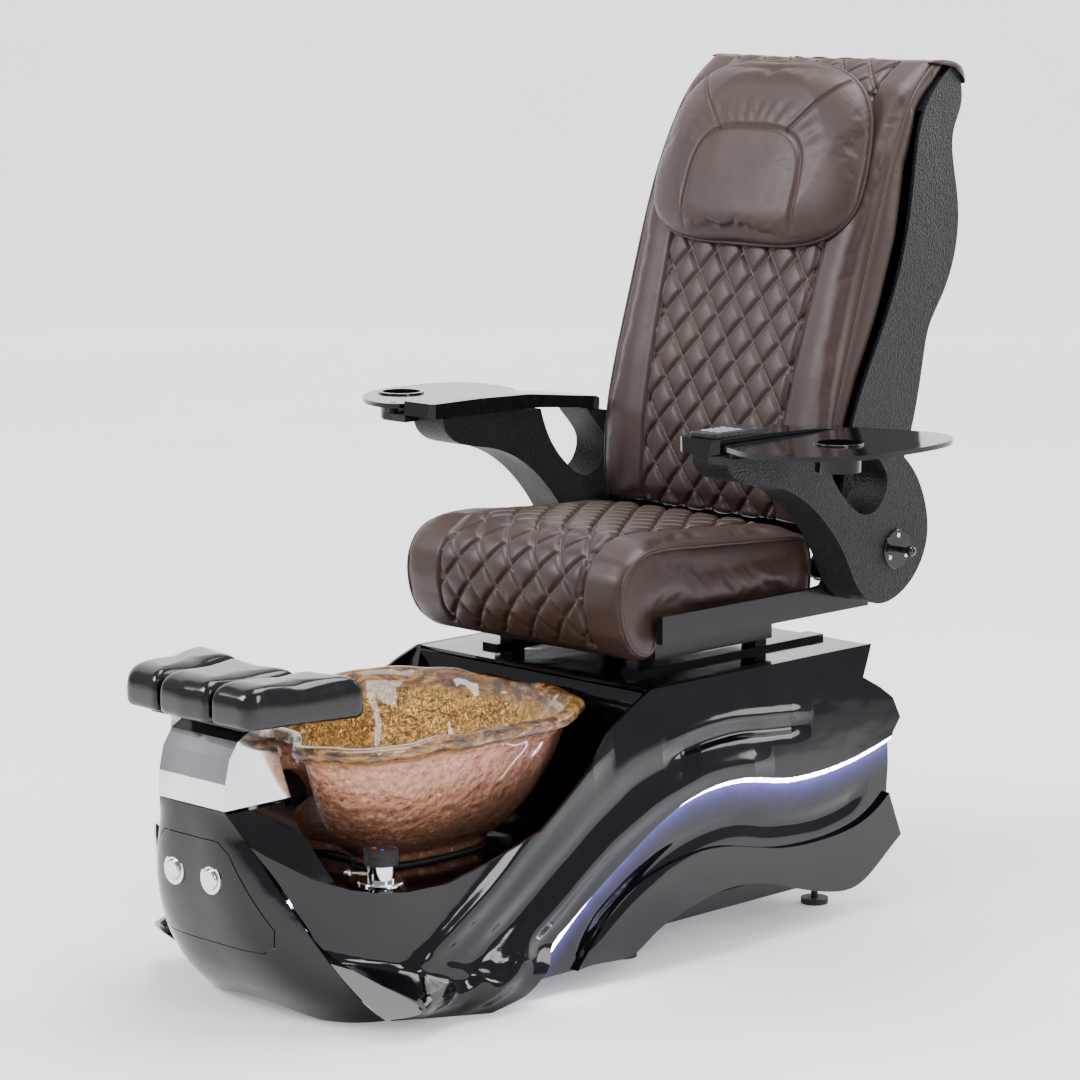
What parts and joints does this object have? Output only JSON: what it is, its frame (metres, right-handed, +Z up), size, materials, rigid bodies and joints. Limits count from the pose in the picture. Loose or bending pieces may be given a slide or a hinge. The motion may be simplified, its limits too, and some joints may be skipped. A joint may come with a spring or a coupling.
{
  "type": "pedicure spa chair",
  "caption": "Reclining salon massage chair on a shell base with a glass foot bowl, a raised footrest, side trays with cups, and a basin mixer.",
  "frame": {"origin": "on the floor under the centre levelling foot, which is at the middle of the chair's length and width without its trays", "axes": "+Z up; the sitter faces -Y, with the foot bowl at -Y and the back at +Y; the sitter's left hand is on +X; across the chair is X"},
  "size_m": [1.1837, 1.5445, 1.452],
  "materials": {
    "shell": "high gloss black",
    "light": "diffusing light strip",
    "chrome": "polished",
    "steel": "satin black",
    "leather": "quilted dark brown",
    "pad": "satin gloss black",
    "plastic": "grained charcoal",
    "bowl": "amber crackle glass",
    "rubber": "matt",
    "pipe": "grey pipe",
    "brass": "machined"
  },
  "bodies": {
    "base": {"base_frame": "steel", "levelling_feet": "rubber", "front_cowl": "shell", "side_shell_left": "shell", "side_shell_right": "shell", "deck_plate": "shell", "rear_panel": "shell", "basin_surround": "shell", "lower_panel_left": "shell", "lower_panel_right": "shell", "light_strip_left": "light", "light_strip_right": "light", "chrome_shroud": "chrome", "footrest_sleeve": "steel", "control_panel": "shell", "button_bezels": "chrome", "glass_bowl": "bowl", "bowl_seal": "rubber", "bowl_drain": "chrome", "waste_pipe": "pipe", "water_inlets": "brass", "jet_housing": "chrome", "jet_motor": "plastic", "mixer_body": "chrome", "control_box": "plastic", "slide_rails": "steel"},
    "jet_button": {"jet_button": "chrome"},
    "light_button": {"light_button": "chrome"},
    "jet_impeller": {"jet_impeller": "plastic"},
    "mixer_lever": {"mixer_sleeve": "chrome"},
    "mixer_cap": {"mixer_knob": "pad"},
    "footrest": {"footrest_post": "steel", "footrest_pad_centre": "pad", "footrest_pad_left": "pad", "footrest_pad_right": "pad"},
    "seat": {"seat_glides": "plastic", "seat_pedestal": "steel", "seat_frame": "steel", "seat_cushion": "leather", "recline_actuator": "plastic"},
    "rod": {"actuator_rod": "chrome"},
    "back": {"back_frame": "steel", "back_shell": "plastic", "back_cushion": "leather", "headrest_pillow": "leather"},
    "massage_carriage": {"massage_carriage": "steel"},
    "massage_rollers": {"massage_rollers": "chrome"},
    "arm_left": {"arm_left": "plastic", "arm_cap_left": "pad", "arm_rosette_left": "chrome", "keypad": "pad"},
    "arm_right": {"arm_right": "plastic", "arm_cap_right": "pad", "arm_rosette_right": "chrome"},
    "lock_left": {"lock_knob_left": "chrome"},
    "lock_right": {"lock_knob_right": "chrome"},
    "tray_left": {"tray_left": "plastic", "cup_holder_left": "plastic"},
    "tray_right": {"tray_right": "plastic", "cup_holder_right": "plastic"}
  },
  "joints": [
    {"name": "footrest_height", "type": "slide", "parent": "base", "child": "footrest", "axis": [0, 0, 1], "range_m": [0, 0.06]},
    {"name": "jet_button_press", "type": "slide", "parent": "base", "child": "jet_button", "axis": [0, 1, 0], "range_m": [0, 0.004], "stiffness_N_per_m": 600, "springref_m": -0.001},
    {"name": "light_button_press", "type": "slide", "parent": "base", "child": "light_button", "axis": [0, 1, 0], "range_m": [0, 0.004], "stiffness_N_per_m": 600, "springref_m": -0.001},
    {"name": "jet_spin", "type": "hinge", "parent": "base", "child": "jet_impeller", "pos_m": [0, -0.5174, 0.35765], "axis": [0, 0.91, 0.4147], "continuous": true},
    {"name": "mixer_turn", "type": "hinge", "parent": "base", "child": "mixer_lever", "pos_m": [0.205, -0.545, 0.24], "axis": [0, 0, 1], "range_deg": [-50, 50]},
    {"name": "mixer_lift", "type": "slide", "parent": "mixer_lever", "child": "mixer_cap", "axis": [0, 0, 1], "range_m": [0, 0.008]},
    {"name": "seat_slide", "type": "slide", "parent": "base", "child": "seat", "axis": [0, 1, 0], "range_m": [0, 0.12]},
    {"name": "back_recline", "type": "hinge", "parent": "seat", "child": "back", "pos_m": [0, 0.445, 0.6], "axis": [-1, 0, 0], "range_deg": [0, 25]},
    {"name": "actuator_extend", "type": "slide", "parent": "seat", "child": "rod", "axis": [0, -1, 0], "range_m": [0, 0.0348]},
    {"name": "massage_travel", "type": "slide", "parent": "back", "child": "massage_carriage", "axis": [0, 0.2521, 0.9677], "range_m": [0, 0.3]},
    {"name": "massage_spin", "type": "hinge", "parent": "massage_carriage", "child": "massage_rollers", "pos_m": [0, 0.52914, 0.79344], "axis": [1, 0, 0], "continuous": true},
    {"name": "arm_flip_left", "type": "hinge", "parent": "seat", "child": "arm_left", "pos_m": [0, 0.492, 0.645], "axis": [-1, 0, 0], "range_deg": [0, 75]},
    {"name": "arm_flip_right", "type": "hinge", "parent": "seat", "child": "arm_right", "pos_m": [0, 0.492, 0.645], "axis": [-1, 0, 0], "range_deg": [0, 75]},
    {"name": "lock_pull_left", "type": "slide", "parent": "arm_left", "child": "lock_left", "axis": [1, 0, 0], "range_m": [0, 0.006], "stiffness_N_per_m": 800, "springref_m": -0.002},
    {"name": "lock_pull_right", "type": "slide", "parent": "arm_right", "child": "lock_right", "axis": [-1, 0, 0], "range_m": [0, 0.006], "stiffness_N_per_m": 800, "springref_m": -0.002},
    {"name": "tray_swing_left", "type": "hinge", "parent": "arm_left", "child": "tray_left", "pos_m": [0.4, 0.045, 0.86], "axis": [0, 0, -1], "range_deg": [0, 90]},
    {"name": "tray_swing_right", "type": "hinge", "parent": "arm_right", "child": "tray_right", "pos_m": [-0.4, 0.045, 0.86], "axis": [0, 0, 1], "range_deg": [0, 90]}
  ],
  "couplings": [
    {"joint": "actuator_extend", "follows": "back_recline", "m_per_rad": 0.079367}
  ]
}
